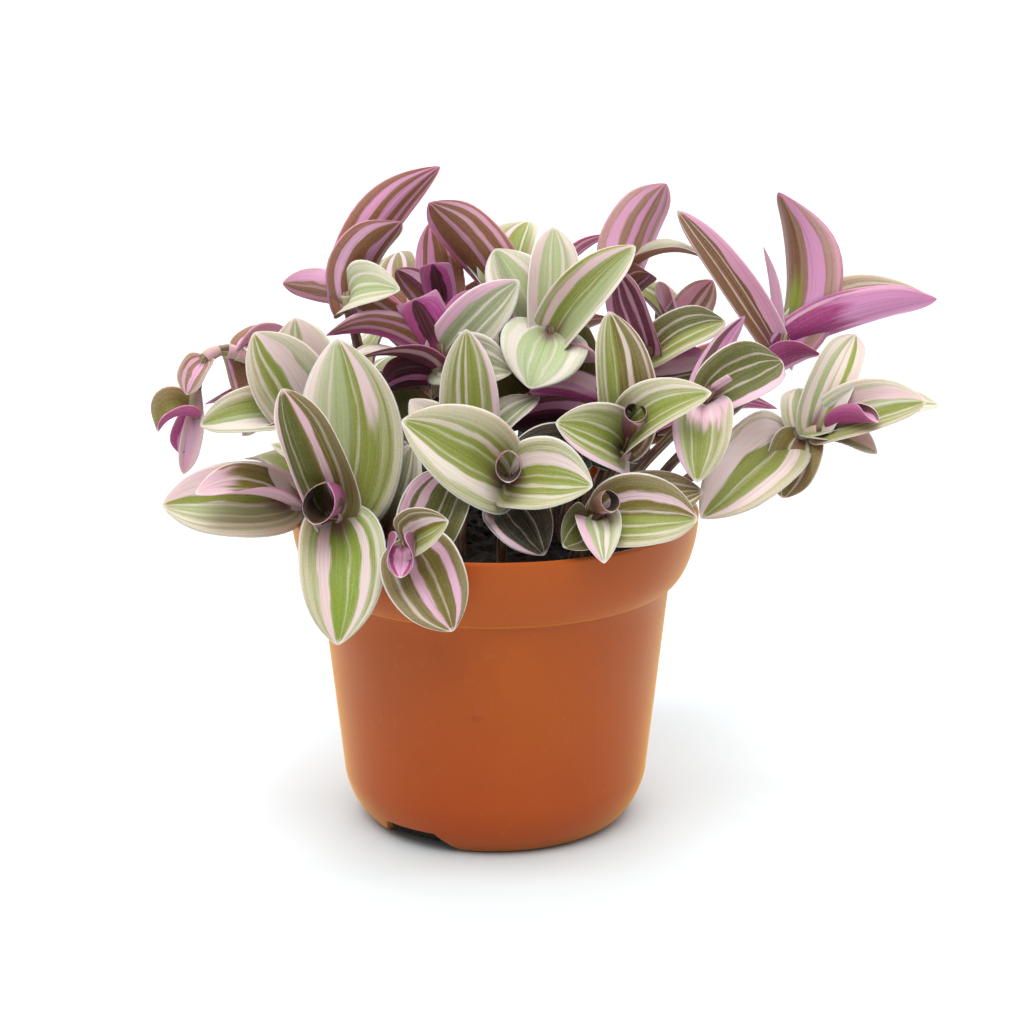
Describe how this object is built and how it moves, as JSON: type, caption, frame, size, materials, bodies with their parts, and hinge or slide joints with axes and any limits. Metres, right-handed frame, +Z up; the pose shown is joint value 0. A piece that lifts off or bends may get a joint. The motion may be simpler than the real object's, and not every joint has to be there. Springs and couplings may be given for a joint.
{
  "type": "potted tradescantia",
  "caption": "Trailing houseplant with pointed, striped green, cream and pink leaves on fleshy stems, rooted in soil in a round terracotta-coloured plastic nursery pot.",
  "frame": {"origin": "on the pot's axis, in the flat underside of its foot, on the surface that the pot stands on", "axes": "+Z up along the pot's axis; +X to the right and -Y towards the viewer as the picture shows the plant"},
  "size_m": [0.2286, 0.1822, 0.192],
  "materials": {
    "pot": "satin terracotta-orange moulded plastic",
    "soil": "dark, crumbly, matt potting soil",
    "leaf": "soft satin leaf, striped green, cream and pink above, purple beneath, on purple-brown stems"
  },
  "bodies": {
    "root": {"pot": "pot", "soil": "soil", "shoot_left_front": "leaf", "shoot_left_low": "leaf", "shoot_middle_front": "leaf", "shoot_right_middle": "leaf", "shoot_right_front": "leaf", "shoot_rim_front": "leaf", "shoot_middle_tall": "leaf", "shoot_top_middle": "leaf", "shoot_right_low": "leaf", "shoot_right_upper": "leaf", "shoot_right_tall": "leaf", "shoot_top_right": "leaf", "shoot_inner_right": "leaf", "shoot_inner_back_right": "leaf", "shoot_inner_middle": "leaf", "shoot_high_left": "leaf", "shoot_top_left": "leaf", "shoot_high_inner": "leaf", "shoot_high_middle": "leaf", "shoot_left_upper": "leaf", "shoot_left_far": "leaf", "shoot_shaded_middle": "leaf", "shoot_back_1": "leaf", "shoot_back_2": "leaf", "shoot_back_3": "leaf", "shoot_back_4": "leaf", "shoot_back_5": "leaf", "shoot_back_6": "leaf"}
  },
  "joints": []
}
